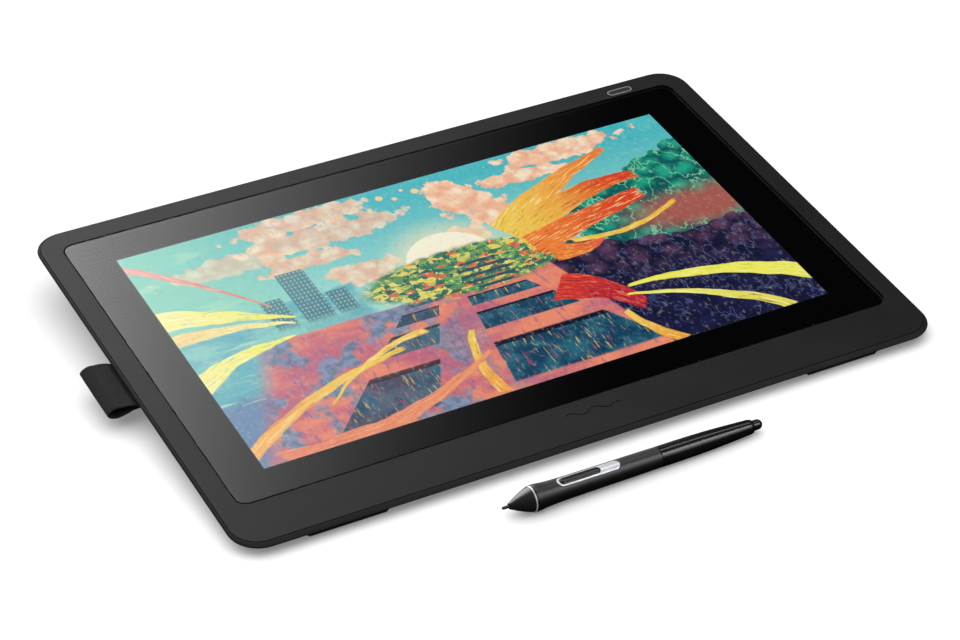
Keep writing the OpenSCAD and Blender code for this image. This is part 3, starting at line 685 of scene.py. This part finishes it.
def silk_group():
    """A curved, tapering ribbon of silk, with fine lines along it, laid over a colour."""
    tree, given, art = picture_group("silk", SILK_NUMBERS, SILK_COLOURS)
    paint = art.paint
    number = {label: Field(paint, given[label]) for label in SILK_NUMBERS}
    x, y = art.shifted(26, 3.0, number["Seed"])
    run, rise = number["End X"] - number["Start X"], number["End Y"] - number["Start Y"]
    length = (run * run + rise * rise).math("SQRT")
    east, north = x - number["Start X"], y - number["Start Y"]
    share = (east * run + north * rise) / (length * length)
    offset = (north * run - east * rise) / length - share * (1 - share) * 4 * number["Bend"]
    half = share * (number["End Width"] - number["Start Width"]) + number["Start Width"]
    soft = number["Soft"]
    mask = (abs(offset) - half).step(soft, soft * -1) * share.step(0, 0.02) * share.step(1.0, 0.97)
    lines = paint.noise(paint.vector(share * 14, offset * 1.6, number["Seed"]), 2.0, 4.0, 0.6)
    shade = paint.mix(share.step(0.05, 0.9), given["Head"], given["Tail"])
    shade = paint.mix(lines.step(0.54, 0.64) * 0.8, shade, given["Bright"])
    shade = paint.mix(lines.step(0.42, 0.36) * 0.7, shade, given["Deep"])
    art.cover(mask, shade)
    close_group(art)
    return tree


def silk(art, start, end, bend, widths, soft, colours, seed):
    """Lays one ribbon of silk over the picture."""
    tree = bpy.data.node_groups.get("silk") or silk_group()
    values = dict(zip(SILK_NUMBERS, (*start, *end, bend, *widths, seed, soft)))
    values.update(zip(SILK_COLOURS, (srgb(*colour) for colour in colours)))
    values.update({"X": art.x, "Y": art.y, "Colour": art.colour})
    art.colour = art.paint.add("ShaderNodeGroup", values, node_tree=tree).outputs["Result"]


GOLD, CREAM, AMBER = (248, 206, 84), (255, 238, 160), (214, 132, 44)
RED, ORANGE, RUST = (228, 66, 40), (246, 130, 56), (176, 52, 40)
LEMON, LEAF, DUSK = (248, 240, 96), (190, 200, 70), (70, 60, 100)
PALE, MINT = (252, 240, 150), (150, 206, 190)

# Start, end, bend, width at each end, softness, then head, tail, bright and deep colours
RIBBONS = (
    ((36, 26), (130, 78), 5, (13, 2), 0.5, (GOLD, ORANGE, CREAM, AMBER)),
    ((40, 18), (134, 48), 9, (12, 4), 0.5, (GOLD, RED, (255, 190, 90), RUST)),
    ((44, 10), (128, 30), 2, (11, 5), 0.5, (ORANGE, RED, CREAM, RUST)),
    ((50, 2), (88, 2), -5, (9, 1), 0.5, (ORANGE, (236, 96, 70), GOLD, RUST)),
    ((66, 6), (142, 16), -8, (2.2, 1.4), 0.5, (GOLD, (250, 190, 60), CREAM, AMBER)),
    ((38, -28), (76, -62), 6, (13, 5), 0.5,
        ((214, 56, 48), (190, 40, 60), (255, 120, 90), (120, 22, 50))),
    ((74, -44), (176, -76), 9, (1.2, 7), 0.3, (LEMON, LEMON, (255, 252, 180), LEAF)),
    ((70, -50), (152, -100), 7, (0.8, 4.5), 0.3, (LEMON, (236, 220, 90), (255, 252, 190), DUSK)),
    ((62, -62), (80, -98), -3, (2, 4), 0.5, (GOLD, (246, 170, 60), CREAM, AMBER)),
    ((-104, 8), (-178, 36), -4, (0.6, 9), 0.3, (LEMON, PALE, (255, 250, 210), MINT)),
    ((-106, 4), (-178, 16), -5, (0.6, 6), 0.3, (PALE, (250, 214, 140), (255, 250, 210), MINT)),
    ((-110, -5), (-178, -26), -5, (0.6, 8), 0.3, (LEMON, PALE, (255, 252, 200), MINT)),
    ((-178, 92), (-112, 22), 3, (3.0, 0.5), 0.3,
        ((240, 168, 160), (226, 140, 130), (255, 210, 190), (190, 120, 130))),
    ((-178, -90), (-62, -40), 9, (4.6, 1.6), 0.5,
        ((250, 178, 100), GOLD, (255, 220, 150), (214, 120, 70))),
    ((-118, -66), (-44, -30), 7, (0.6, 2.4), 0.5, (GOLD, (255, 214, 110), CREAM, AMBER)),
    ((-30, -96), (-22, -40), 5, (4, 1.5), 0.5, ((250, 176, 84), GOLD, CREAM, (206, 96, 60))),
    ((-160, -98), (-20, -60), -12, (10, 1.0), 0.5,
        ((238, 140, 110), (242, 150, 106), (250, 180, 140), (196, 90, 84))),
)
FIRST_RIBBON_SEED = 30.0


def paint_silks(art):
    """Ribbons of silk on the wind, at the right, at the left and along the ground."""
    for i, ribbon in enumerate(RIBBONS):
        silk(art, *ribbon, FIRST_RIBBON_SEED + i)


def paint_brushwork(art):
    """Fine light and dark brush marks over everything."""
    brush = art.grain(2.2, 50.0, 1.0, 0.6)
    art.cover(brush.step(0.45, 0.30) * 0.15, srgb(30, 50, 70))
    art.cover(brush.step(0.55, 0.70) * 0.12, srgb(255, 250, 230))


def layer(art, draw):
    """Runs one painting function inside its own node group and returns the new colour."""
    tree, _, inside = picture_group(draw.__name__)
    draw(inside)
    close_group(inside)
    values = {"X": art.x, "Y": art.y, "Colour": art.colour}
    return art.paint.add("ShaderNodeGroup", values, node_tree=tree).outputs["Result"]


def picture_paint(name):
    """The lit screen: the painted landscape inside the lit area, and black round it."""
    paint = Paint(name)
    x = paint.along(CASING, 0)
    y = paint.along(CASING, 1)
    art = Picture(paint, x, y, (0, 0, 0, 1))
    layers = (
        paint_sky, paint_clouds, paint_sun, paint_hills, paint_left_water, paint_towers,
        paint_ground, paint_foliage, paint_silks, paint_brushwork,
    )
    for draw in layers:
        art.colour = layer(art, draw)
    lit = (abs(x) - LIT_AREA[0] / 2).step(0.02, -0.02) * (abs(y) - LIT_AREA[1] / 2).step(0.02, -0.02)
    glow = paint.add("ShaderNodeEmission", {"Color": art.colour, "Strength": 1.0})
    dark = paint.add("ShaderNodeBsdfPrincipled", {"Base Color": srgb(10, 10, 11), "Roughness": 0.3})
    return paint.finish(paint.mix_shaders(lit, dark, glow))


# ---------------------------------------------------------------------------------------
# One material for each slot of the record

MATERIALS = {
    "bezel_plastic": moulded("bezel_plastic", srgb(14, 14, 15), 0.50, depth=0.03, specular=0.16),
    "cover_plastic": moulded("cover_plastic", srgb(19, 19, 20), 0.6, depth=0.03, specular=0.12),
    "screen_glass": cover_glass_paint("screen_glass"),
    "screen_panel": picture_paint("screen_panel"),
    "white_film": moulded("white_film", srgb(236, 237, 238), 0.5, 2.0, 0.002, 0.03),
    "clear_acrylic": clear_sheet("clear_acrylic", srgb(226, 242, 246), 0.12),
    "led_white": led_paint("led_white"),
    "steel": metal("steel", srgb(188, 190, 194), 0.38, (0.08, 1, 1)),
    "screw_black": metal("screw_black", srgb(58, 58, 61), 0.45),
    "aluminium": metal("aluminium", srgb(206, 208, 212), 0.42, (1, 0.1, 1)),
    "brass": metal("brass", srgb(214, 176, 92), 0.30, (1, 1, 0.2)),
    "circuit_board": board_paint("circuit_board"),
    "chip_black": moulded("chip_black", srgb(30, 30, 32), 0.6, 0.25, 0.01),
    "ribbon": ribbon_paint("ribbon"),
    "foam_tape": foam("foam_tape"),
    "rubber": moulded("rubber", srgb(24, 24, 25), 0.82, 0.6, 0.05, 0.18, 0.2),
    "button_plastic": moulded("button_plastic", srgb(24, 24, 25), 0.42, 0.4, 0.01),
    "light_ring": glowing_ring("light_ring"),
    "loop_fabric": woven("loop_fabric"),
    "clip_plastic": moulded("clip_plastic", srgb(26, 26, 27), 0.5, 0.5, 0.03),
    "nib_plastic": moulded("nib_plastic", srgb(22, 22, 23), 0.35, 0.3, 0.004),
    "pen_rubber": moulded("pen_rubber", srgb(13, 13, 14), 0.44, 0.3, 0.02, 0.12, 0.6),
    "pen_plastic": moulded("pen_plastic", srgb(18, 18, 19), 0.20, 0.6, 0.003, 0.1, 0.42),
    "pen_cone_plastic": moulded("pen_cone_plastic", srgb(26, 26, 27), 0.32, 0.4, 0.008, 0.1, 0.7),
    "pen_silver": metal("pen_silver", srgb(206, 208, 212), 0.30, (0.1, 1, 1), 0.4, 0.003, 0.45),
    "switch_plastic": moulded("switch_plastic", srgb(15, 15, 16), 0.28, 0.4, 0.004, 0.1, 0.5),
    "ferrite": moulded("ferrite", srgb(58, 56, 56), 0.7, 0.2, 0.02),
    "copper": wound_copper("copper"),
    "border_ink": moulded("border_ink", srgb(4, 4, 5), 0.6, 0.3, 0.001, 0.05, 0.0),
    "loop_thread": thread("loop_thread"),
}

# Radius that each visible CAD node's hard edges are rounded to, in millimetres
EDGE_RADIUS = {
    "front_bezel": 0.25, "rear_cover": 0.3, "cover_glass": 0.3, "power_button": 0.12,
    "power_light_ring": 0.08, "left_leg": 0.4, "right_leg": 0.4, "left_leg_foot": 0.5,
    "right_leg_foot": 0.5, "front_feet": 0.5, "stand_inserts": 0.15, "casing_screws": 0.12,
    "loop_clip": 0.25, "nib_puller": 0.3, "lock_plate": 0.15, "leg_hinge_pins": 0.2,
    "leg_detent_springs": 0.08, "port_connector": 0.1, "pen_nose_cone": 0.12, "pen_ring": 0.05,
    "pen_grip": 0.15, "pen_barrel": 0.15, "pen_switch_frame": 0.1, "pen_eraser": 0.2,
    "heat_spreader": 0.1, "main_board_chips": 0.1, "lcd_rear_tray": 0.1,
}

for node_name in NODES:
    dress_node(node_name, EDGE_RADIUS.get(node_name, 0))


# ---------------------------------------------------------------------------------------
# Pieces with finer shapes than the CAD ones


def glass_border():
    """The black border printed on the cover glass, just inside its underside."""
    low, high = span("cover_glass", CASING)
    glass_radius, glass_margin = 6.5, 0.35
    window_radius, window_margin = 0.6, 0.4
    reach_x, reach_y = LIT_AREA[0] / 2 + window_margin, LIT_AREA[1] / 2 + window_margin
    top, bottom = low.z + 0.03, low.z + 0.01
    outer = rounded_outline(low, high, glass_radius, glass_margin)
    inner = rounded_outline((-reach_x, -reach_y), (reach_x, reach_y), window_radius)
    loops = [
        [(x, y, top) for x, y in outer], [(x, y, bottom) for x, y in outer],
        [(x, y, bottom) for x, y in inner], [(x, y, top) for x, y in inner],
    ]
    points, faces = loft(loops, closed=True)
    piece = make_piece(
        "glass_border_print", points, faces, CASING, "casing", "bezel_plastic", look="border_ink")
    sharp_by_angle(piece)


def smooth_path(points, steps):
    """A curve through the points, eased at each of them."""
    path = []
    padded = [points[0], *points, points[-1]]
    for before, start, end, after in zip(padded, padded[1:], padded[2:], padded[3:]):
        for step in range(steps):
            t = step / steps
            path.append(tuple(
                0.5 * (2 * b + (c - a) * t + (2 * a - 5 * b + 4 * c - d) * t * t
                       + (3 * b - a - 3 * c + d) * t ** 3)
                for a, b, c, d in zip(before, start, end, after)
            ))
    path.append(points[-1])
    return path


def loop_section():
    """Middle line of the webbing, from its top layer at the clip round to its bottom layer."""
    low, high = span("pen_loop", CASING)
    x_mid = (low.x + high.x) / 2
    inset = 0.5
    left, right = low.x + inset, high.x
    top, bottom = high.z - inset, low.z + inset
    middle = (top + bottom) / 2
    neck = span("loop_clip", CASING)
    root = neck[0].x + 0.8
    neck_z = (neck[0].z + neck[1].z) / 2
    return smooth_path([
        (root, neck_z + 0.5), (right + 0.6, neck_z + 0.95), (right - 1.4, neck_z + 1.9),
        (right - 4.4, neck_z + 2.7), (x_mid - 0.2, top - 0.25), (left + 4.6, top),
        (left + 1.4, top - 1.3), (left, middle),
        (left + 1.4, bottom + 1.2), (left + 4.6, bottom), (x_mid - 0.2, bottom + 0.2),
        (right - 4.2, neck_z - 1.7), (right - 2.0, neck_z - 0.8), (root, neck_z - 0.5),
    ], 8)


def fabric_loop():
    """The pen loop: one strip of webbing folded round, ribbed across, sewn at its neck."""
    section = loop_section()
    half, rib_height = 0.36, 0.05
    hem_width, hem_share = 0.4, 0.55
    sag_depth, sag_rise, sag_run = 0.25, 0.12, 8
    low, high = span("pen_loop", CASING)
    centre = np.array(section)
    slope = np.gradient(centre, axis=0)
    slope /= np.linalg.norm(slope, axis=1)[:, None]
    normal = np.stack([-slope[:, 1], slope[:, 0]], axis=1)
    rows_per_rib = 5
    rib_count = round((high.y - low.y) / RIB_PITCH)
    row_count = rib_count * rows_per_rib
    loops = []
    for row in range(row_count + 1):
        share = row / row_count
        y = low.y + (high.y - low.y) * share
        rib = rib_height * abs(math.sin(math.pi * rib_count * share))
        hem = min(1.0, min(y - low.y, high.y - y) / hem_width)
        thick = (half + rib) * (hem_share + (1 - hem_share) * math.sqrt(hem))
        sag = sag_depth * math.cos(math.pi * (share - 0.5)) - sag_rise
        outer = centre - normal * thick
        inner = centre + normal * thick
        ring = np.vstack([outer, inner[::-1]])
        loops.append([
            (x, y, z - sag * max(0.0, min(1.0, (centre[0][0] - x) / sag_run))) for x, z in ring])
    points, faces = loft(loops)
    piece = make_piece("pen_loop_webbing", points, faces, CASING, None, "loop_fabric", ["pen_loop"])
    sharp_by_angle(piece, 60)
    root_x, root_z = section[0]
    bend_from = CASING @ Vector((root_x - 1.2, 0, root_z))
    bend_to = CASING @ Vector((root_x - 6.0, 0, root_z))
    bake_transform(piece)


def capsule(start, end, radius, around=8, along=3):
    """Loops of a short round-ended rod between two points."""
    start, end = Vector(start), Vector(end)
    axis = (end - start).normalized()
    side = axis.cross(Vector((0.3, 0.2, 0.9))).normalized()
    up = axis.cross(side)
    loops = []
    stations = [(start, -math.cos(a), math.sin(a)) for a in np.linspace(0.15, math.pi / 2, along)]
    stations += [(end, math.cos(a), math.sin(a)) for a in np.linspace(math.pi / 2, 0.15, along)]
    for base, push, swell in stations:
        middle = base + axis * (radius * push)
        loops.append([
            tuple(middle + (side * math.cos(turn) + up * math.sin(turn)) * (radius * swell))
            for turn in np.linspace(0, 2 * math.pi, around, endpoint=False)
        ])
    return loft(loops)


def loop_stitches():
    """A row of stitches through both layers of webbing, beside the neck."""
    path_step, lift = 18, 0.42
    x, middle = loop_section()[path_step]
    top = middle + lift
    low, high = span("pen_loop", CASING)
    all_points, all_faces = [], []
    pitch, half_long, radius, hem = 2.3, 0.75, 0.16, 1.5
    count = int((high.y - low.y - 2 * hem) / pitch)
    for i in range(count):
        y = (low.y + high.y) / 2 + (i - (count - 1) / 2) * pitch
        points, faces = capsule((x, y - half_long, top), (x, y + half_long, top), radius)
        base = len(all_points)
        all_points += points
        all_faces += [tuple(base + i for i in face) for face in faces]
    make_piece(
        "pen_loop_stitches", all_points, all_faces, CASING, "loop", "loop_fabric", look="loop_thread")


def stadium(low_x, high_x, half, side_steps=24, end_steps=10):
    """A round-ended slot's outline, with points along its straight sides too."""
    left, right = low_x + half, high_x - half
    outline = [(right + (left - right) * i / side_steps, half) for i in range(side_steps)]
    for i in range(end_steps):
        turn = math.pi / 2 + math.pi * i / end_steps
        outline.append((left + half * math.cos(turn), half * math.sin(turn)))
    outline += [(left + (right - left) * i / side_steps, -half) for i in range(side_steps)]
    for i in range(end_steps):
        turn = -math.pi / 2 + math.pi * i / end_steps
        outline.append((right + half * math.cos(turn), half * math.sin(turn)))
    return outline


def side_switch_key():
    """The pen's side switch: one long domed key with a waist over its pivot."""
    low, high = span("pen_switch_rocker", PEN)
    half = (high.y - low.y) / 2
    shoulder, fall, dome = 6.15, 0.24, 0.62
    waist, waist_reach, foot_top = 0.24, 2.6, 4.8
    middle = (low.x + high.x) / 2

    def surface(x, lift):
        run = (x - low.x) / (high.x - low.x)
        dip = waist * math.exp(-((x - middle) / waist_reach) ** 2) * lift
        return shoulder - fall * run + dome * lift - dip

    loops = []
    for degrees in (0, 12, 25, 40, 55, 68, 78):
        bend = math.radians(degrees)
        reach = half * math.cos(bend)
        inset = half - reach
        outline = stadium(low.x + inset, high.x - inset, reach)
        loops.append([(x, y, surface(x, math.sin(bend))) for x, y in outline])
    foot = [(x, y, foot_top) for x, y in stadium(low.x, high.x, half)]
    points, faces = loft([foot, *loops])
    domes = span("pen_switch_domes", PEN)
    dome_radius, peg_radius = 1.6, 0.9
    for x in (domes[0].x + dome_radius, domes[1].x - dome_radius):
        peg, peg_faces = capsule(
            (x, 0, foot_top + 0.3), (x, 0, low.z + peg_radius), peg_radius, 16, 5)
        base = len(points)
        points += peg
        faces += [tuple(base + i for i in face) for face in peg_faces]
    make_piece(
        "pen_switch_key", points, faces, PEN, "rocker", "pen_plastic", ["pen_switch_rocker"],
        look="switch_plastic")


glass_border()
fabric_loop()
loop_stitches()
side_switch_key()

# ---------------------------------------------------------------------------------------
# Stage: floor, lights and camera

ROOM_GLOW = 0.35
FLOOR_GLOW = 0.20
FLOOR_BOUNCE = 0.6

# The window card fades out this far right of the screen's centre, in millimetres.
CARD_GLOW = 4.3
FADE_END = 175
FADE_POWER = 2.45

CAMERA_AT = Vector((-0.65015, -1.20464, 0.91502))
CAMERA_AIM = Vector((0.39428, 0.73028, -0.55788))
CAMERA_ROLL = 0.11
LENS_MM = 110.97


def floor():
    """A plain pale floor that throws weak, even light up and can be looked through from below."""
    bpy.ops.mesh.primitive_plane_add(size=6.0, location=(0, 0, 0))
    piece = bpy.context.object
    piece.name = "floor"
    paint = Paint("floor")
    patch = paint.noise(paint.position(), 300, 2.0)
    ray = paint.add("ShaderNodeLightPath").outputs
    seen = Field(paint, ray["Is Camera Ray"])
    bounced = Field(paint, ray["Is Diffuse Ray"])
    shade = paint.mix(patch, (0.65, 0.65, 0.65, 1), (0.67, 0.67, 0.67, 1))
    shade = paint.mix(seen, (0, 0, 0, 1), shade)
    glow = seen * FLOOR_GLOW + bounced * FLOOR_BOUNCE
    pale = paint.add("ShaderNodeBsdfPrincipled", {
        "Base Color": shade, "Roughness": 0.9, "Specular IOR Level": 0.0,
        "Emission Color": (1, 1, 1, 1), "Emission Strength": glow})
    clear = paint.add("ShaderNodeBsdfTransparent")
    below = paint.add("ShaderNodeNewGeometry").outputs["Backfacing"]
    piece.data.materials.append(paint.finish(paint.mix_shaders(below, pale, clear)))


def reflect(ray, normal):
    return ray - normal * (2 * ray.dot(normal))


def reflections_only(card):
    """Hides a glowing card from everything but mirror-like rays."""
    card.visible_camera = False
    card.visible_diffuse = False
    card.visible_shadow = False


def glowing_card(name, corners, dim, bright, glow, power):
    """A card whose light grows from nothing at one point to its full glow at another."""
    mesh = bpy.data.meshes.new(name)
    mesh.from_pydata([tuple(corner) for corner in corners], [], [(0, 1, 2, 3)])
    card = bpy.data.objects.new(name, mesh)
    bpy.context.scene.collection.objects.link(card)
    paint = Paint(name)
    run = bright - dim
    along = run / run.length_squared
    where = paint.add("ShaderNodeTexCoord").outputs["Object"]
    row = paint.add("ShaderNodeVectorMath", {0: where}, operation="DOT_PRODUCT")
    row.inputs[1].default_value = tuple(along)
    share = Field(paint, row.outputs["Value"]) - dim.dot(along)
    fade = share.math("MAXIMUM", 0.0).math("MINIMUM", 1.1).math("POWER", power)
    light = paint.add("ShaderNodeEmission", {"Color": (1, 1, 1, 1), "Strength": fade * glow})
    paint.finish(light.outputs[0])
    mesh.materials.append(paint.material)
    reflections_only(card)


def softbox():
    """The window light that fades across the cover glass, seen in its reflection."""
    normal = CASING.to_3x3().col[2].normalized()
    top = span("cover_glass", CASING)[1].z
    distance = 1.6

    def seen_at(x, y):
        """The point that the camera sees mirrored at x and y of the glass."""
        at = CASING @ Vector((x, y, top))
        return at + reflect((at - CAMERA_AT).normalized(), normal) * distance

    facing = reflect((CASING @ Vector((0, 0, 0)) - CAMERA_AT).normalized(), normal)
    left, rear, front = -185, 101, -103
    bright, dark = seen_at(left, rear), seen_at(FADE_END, rear)
    up = seen_at(-75, rear) - seen_at(left, front)
    up = (up - facing * up.dot(facing)).normalized()
    across = up.cross(facing).normalized()
    if across.dot(dark - bright) < 0:
        across = -across
    width = (dark - bright).dot(across)
    dim = bright + across * width
    overrun, half_tall = 1.2, 1.1
    start = bright - across * overrun
    rise = up * half_tall
    corners = [start - rise, dim - rise, dim + rise, start + rise]
    glowing_card("softbox", corners, dim, bright, CARD_GLOW, FADE_POWER)


def pen_highlight(name, low, high, glow, power):
    """A long card that the barrel mirrors as one straight line, between two angles round it."""
    axis = PEN.to_3x3().col[0].normalized()
    middle = PEN @ Vector((100, 0, 0))
    to_camera = (CAMERA_AT - middle).normalized()
    slide = to_camera.dot(axis)
    outward = to_camera - axis * slide
    slide /= outward.length
    outward.normalize()
    lift = axis.cross(outward)
    if lift.z < 0:
        lift = -lift
    distance, half_long = 0.9, 0.35

    def edge(degrees):
        turn = math.radians(degrees)
        return middle + (outward * math.cos(turn) + lift * math.sin(turn) - axis * slide) * distance

    near, far = edge(low), edge(high)
    reach = axis * half_long
    corners = [near - reach, near + reach, far + reach, far - reach]
    glowing_card(name, corners, near, far, glow, power)


def area_light(name, at, aim, size, power):
    """A soft light for matte surfaces; mirrors see the glowing cards instead."""
    data = bpy.data.lights.new(name, "AREA")
    data.shape = "RECTANGLE"
    data.size, data.size_y = size
    data.energy = power
    light = bpy.data.objects.new(name, data)
    light.location = at
    light.rotation_euler = (Vector(aim) - Vector(at)).to_track_quat("-Z", "Y").to_euler()
    light.visible_glossy = False
    bpy.context.scene.collection.objects.link(light)


def room_light():
    """Even light from all round for the floor and matte parts; mirrors see a dark room."""
    world = bpy.data.worlds.new("room")
    bpy.context.scene.world = world
    world.use_nodes = True
    tree = world.node_tree
    tree.nodes.clear()
    even = tree.nodes.new("ShaderNodeBackground")
    even.inputs["Color"].default_value = (1, 1, 1, 1)
    even.inputs["Strength"].default_value = ROOM_GLOW
    output = tree.nodes.new("ShaderNodeOutputWorld")
    tree.links.new(even.outputs[0], output.inputs["Surface"])
    world.cycles_visibility.glossy = False


def camera():
    data = bpy.data.cameras.new("camera")
    data.lens = LENS_MM
    data.sensor_width = 36
    data.clip_end = 50
    view = bpy.data.objects.new("camera", data)
    aim = CAMERA_AIM.to_track_quat("-Z", "Y").to_matrix().to_4x4()
    roll = Matrix.Rotation(math.radians(CAMERA_ROLL), 4, "Z")
    view.matrix_world = Matrix.Translation(CAMERA_AT) @ aim @ roll
    bpy.context.scene.collection.objects.link(view)
    bpy.context.scene.camera = view


floor()
room_light()
area_light("overhead", (-0.35, 0.25, 1.5), (-0.35, 0.25, 0), (3.0, 3.0), 58)
camera()
softbox()
pen_highlight("front_card", -28, 20, 10.0, 1.6)
pen_highlight("top_card", 60, 67, 6.0, 0.0)
bpy.context.scene.view_settings.view_transform = "Standard"
